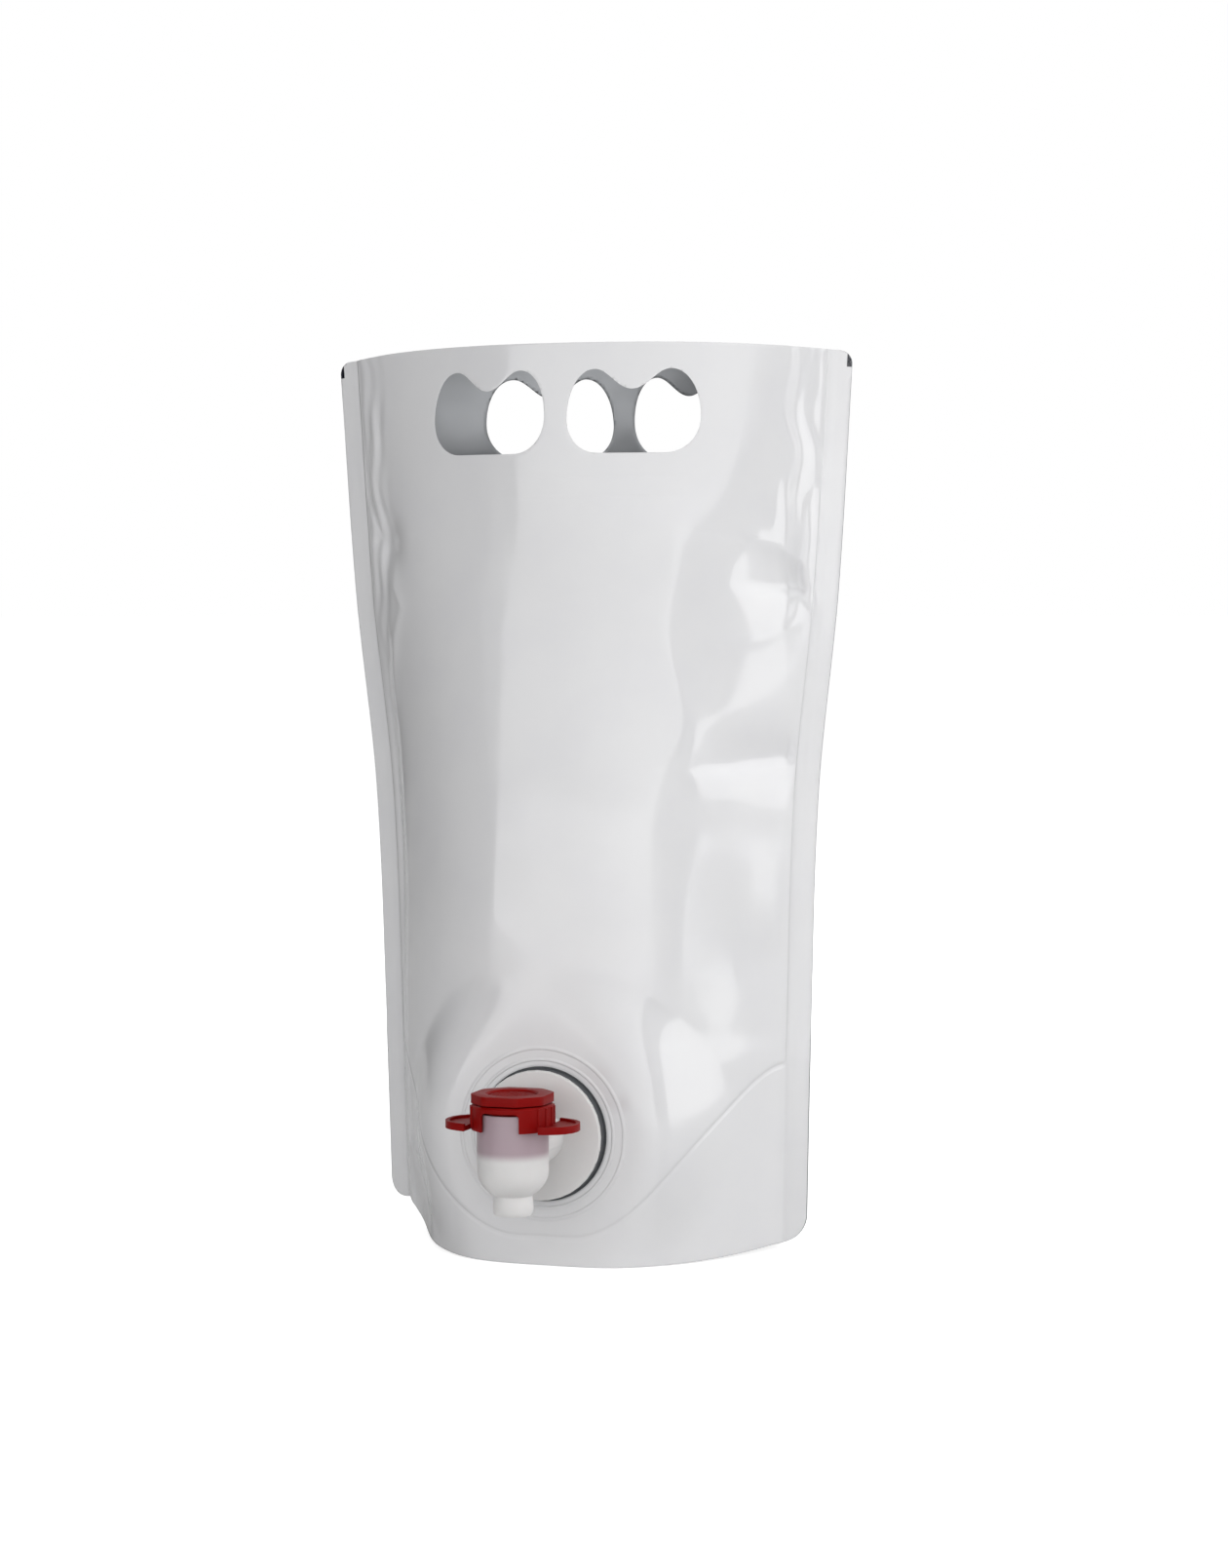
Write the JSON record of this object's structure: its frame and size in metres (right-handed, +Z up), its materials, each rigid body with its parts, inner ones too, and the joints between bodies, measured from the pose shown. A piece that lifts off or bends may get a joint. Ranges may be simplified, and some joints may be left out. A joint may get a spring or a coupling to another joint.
{
  "type": "stand-up pouch with tap",
  "caption": "White film stand-up pouch, open at the top, with finger holes for carrying, an arched bottom gusset and a turning press tap with red wings.",
  "frame": {"origin": "on the floor, under the middle of the bounding box", "axes": "+Z up, the tap points to -Y, +X to the right seen from the front"},
  "size_m": [0.166, 0.1326, 0.2751],
  "materials": {
    "film": "gloss",
    "gland": "satin",
    "tap_white": "satin",
    "tap_red": "satin",
    "stem_white": "satin",
    "soft_plug": "matte",
    "spring_steel": "polished"
  },
  "bodies": {
    "pouch": {"front_panel": "film", "back_panel": "film", "bottom_gusset": "film", "gland": "gland"},
    "tap": {"tap_body": "tap_white", "wing_collar": "tap_red", "bezel_plate": "tap_red", "return_spring": "spring_steel"},
    "button": {"press_pad": "tap_red", "valve_sleeve": "tap_red", "valve_stem": "stem_white", "valve_plug": "soft_plug"}
  },
  "joints": [
    {"name": "tap_swivel", "type": "hinge", "parent": "pouch", "child": "tap", "pos_m": [0, -0.02903, 0.03958], "axis": [0, -1, 0], "continuous": true},
    {"name": "button_press", "type": "slide", "parent": "tap", "child": "button", "axis": [0, 0, -1], "range_m": [0, 0.003], "stiffness_N_per_m": 800, "deforming": ["return_spring"]}
  ]
}
